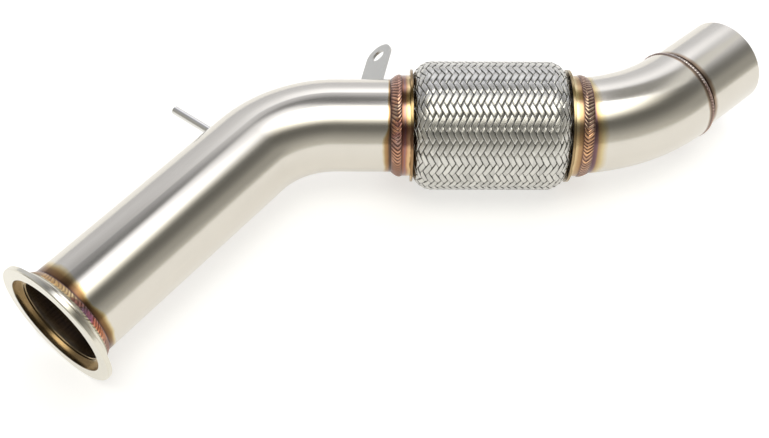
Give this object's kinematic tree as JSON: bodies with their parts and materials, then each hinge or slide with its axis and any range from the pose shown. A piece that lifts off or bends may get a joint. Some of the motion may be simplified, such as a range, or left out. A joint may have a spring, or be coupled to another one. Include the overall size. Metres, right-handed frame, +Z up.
{
  "type": "turbo downpipe",
  "caption": "Bent stainless exhaust downpipe: V-band inlet flange, braided flex joint between welded end caps, narrower slip outlet, flat bracket and small pressure pipe.",
  "frame": {"origin": "centre of the inlet flange's sealing face", "axes": "+X down the inlet pipe, away from the face; every pipe axis lies in the XY plane; +Z up as the pipe lies"},
  "size_m": [0.4567, 0.3107, 0.088],
  "materials": {
    "pipe_steel": "bent stainless tube, brushed lengthwise, with brown and gold heat tint beside each weld",
    "flange_steel": "turned stainless steel, fine lathe lines",
    "cap_steel": "turned stainless steel, heat-tinted gold and brown by the welds",
    "braid_wire": "bright flat bands of fine stainless wire, plaited",
    "inner_steel": "thin formed stainless strip",
    "weld_bead": "rippled weld bead, tinted copper, gold and purple",
    "bracket_steel": "cut stainless plate, plain mill finish"
  },
  "bodies": {
    "root": {"vband_flange": "flange_steel", "flange_weld": "weld_bead", "inlet_pipe": "pipe_steel", "inlet_flex_weld": "weld_bead", "inlet_end_cap": "cap_steel", "braid_sleeve": "braid_wire", "bellows": "inner_steel", "interlock_liner": "inner_steel", "outlet_end_cap": "cap_steel", "outlet_flex_weld": "weld_bead", "outlet_bend": "pipe_steel", "outlet_weld": "weld_bead", "outlet_stub": "pipe_steel", "bracket": "bracket_steel", "bracket_weld": "weld_bead", "pressure_pipe": "pipe_steel", "pressure_weld": "weld_bead"}
  },
  "joints": []
}
